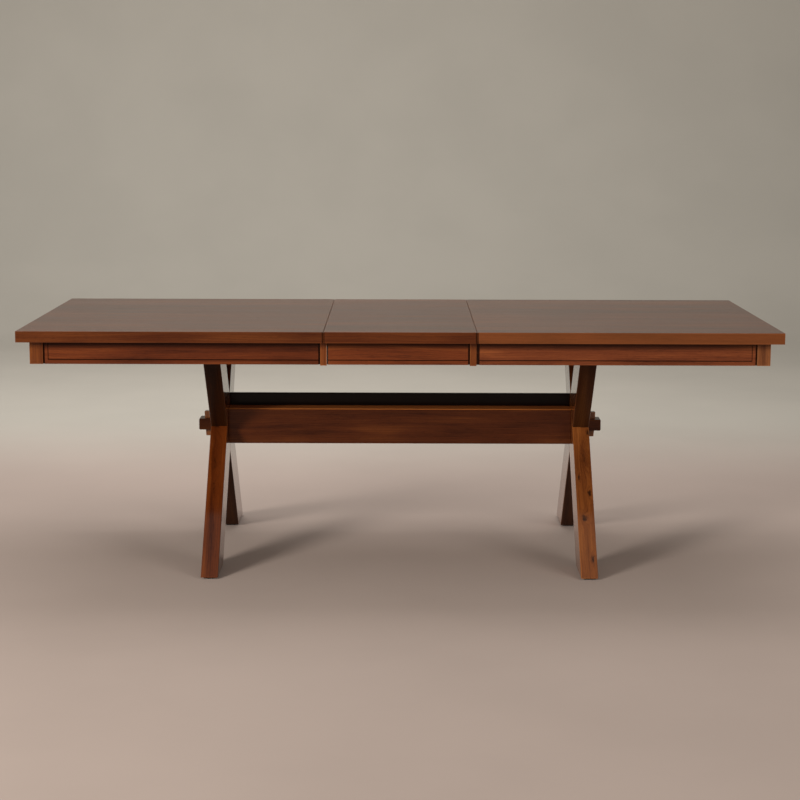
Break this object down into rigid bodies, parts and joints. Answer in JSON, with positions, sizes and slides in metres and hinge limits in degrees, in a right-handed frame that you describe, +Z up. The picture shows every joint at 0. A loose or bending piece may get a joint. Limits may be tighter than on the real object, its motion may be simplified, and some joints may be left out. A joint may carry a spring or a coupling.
{
  "type": "trestle dining table",
  "caption": "Extension dining table with a drop-in leaf on an X trestle base: half-lapped arms, a stretcher with keyed through tenons, and top halves on geared slides.",
  "frame": {"origin": "on the floor, under the middle of the top", "axes": "+X along the table to its right end, -Y is the long side seen in the picture, +Z up"},
  "size_m": [2.286, 0.965, 0.762],
  "materials": {
    "top_wood": "semi-gloss brown lacquer",
    "frame_wood": "semi-gloss brown lacquer",
    "slide_wood": "plain sanded hardwood",
    "pin_wood": "plain dowel",
    "steel": "zinc plated",
    "gear_plastic": "moulded nylon",
    "glide_plastic": "black"
  },
  "bodies": {
    "base": {"left_front_arm": "frame_wood", "left_rear_arm": "frame_wood", "right_front_arm": "frame_wood", "right_rear_arm": "frame_wood", "left_bearer": "slide_wood", "right_bearer": "slide_wood", "stretcher_beam": "frame_wood", "stretcher_ridge": "frame_wood", "left_wedge_key": "frame_wood", "right_wedge_key": "frame_wood", "front_fixed_rail": "slide_wood", "rear_fixed_rail": "slide_wood", "pinion_axles": "steel", "foot_glides": "glide_plastic", "bearer_lag_bolts": "steel", "rail_screws": "steel"},
    "left_half": {"left_slab": "top_wood", "left_front_apron": "frame_wood", "left_rear_apron": "frame_wood", "left_end_apron": "frame_wood", "left_front_corner_block": "frame_wood", "left_rear_corner_block": "frame_wood", "left_corner_braces": "slide_wood", "left_front_moving_rail": "slide_wood", "left_rear_moving_rail": "slide_wood", "left_front_rack": "gear_plastic", "left_rear_rack": "gear_plastic", "left_locating_pins": "pin_wood", "left_front_seam_block": "frame_wood", "left_rear_seam_block": "frame_wood"},
    "right_half": {"right_slab": "top_wood", "right_front_apron": "frame_wood", "right_rear_apron": "frame_wood", "right_end_apron": "frame_wood", "right_front_corner_block": "frame_wood", "right_rear_corner_block": "frame_wood", "right_corner_braces": "slide_wood", "right_front_moving_rail": "slide_wood", "right_rear_moving_rail": "slide_wood", "right_front_rack": "gear_plastic", "right_rear_rack": "gear_plastic", "right_locating_pins": "pin_wood"},
    "leaf": {"leaf_slab": "top_wood", "leaf_front_apron": "frame_wood", "leaf_rear_apron": "frame_wood", "leaf_front_seam_block": "frame_wood", "leaf_rear_seam_block": "frame_wood"},
    "front_pinion": {"front_pinion": "gear_plastic"},
    "rear_pinion": {"rear_pinion": "gear_plastic"}
  },
  "joints": [
    {"name": "right_half_slide", "type": "slide", "parent": "base", "child": "right_half", "axis": [1, 0, 0], "range_m": [0, 0.04]},
    {"name": "left_half_slide", "type": "slide", "parent": "base", "child": "left_half", "axis": [-1, 0, 0], "range_m": [0, 0.04]},
    {"name": "front_pinion_spin", "type": "hinge", "parent": "base", "child": "front_pinion", "pos_m": [0, -0.23, 0.72], "axis": [0, 0, 1], "range_deg": [0, 144]},
    {"name": "rear_pinion_spin", "type": "hinge", "parent": "base", "child": "rear_pinion", "pos_m": [0, 0.23, 0.72], "axis": [0, 0, 1], "range_deg": [0, 144]},
    {"name": "leaf_lift", "type": "slide", "parent": "base", "child": "leaf", "axis": [0, 0, 1], "range_m": [0, 0.11]}
  ],
  "couplings": [
    {"joint": "left_half_slide", "follows": "right_half_slide", "ratio": 1},
    {"joint": "front_pinion_spin", "follows": "right_half_slide", "rad_per_m": 62.5},
    {"joint": "rear_pinion_spin", "follows": "right_half_slide", "rad_per_m": 62.5}
  ]
}
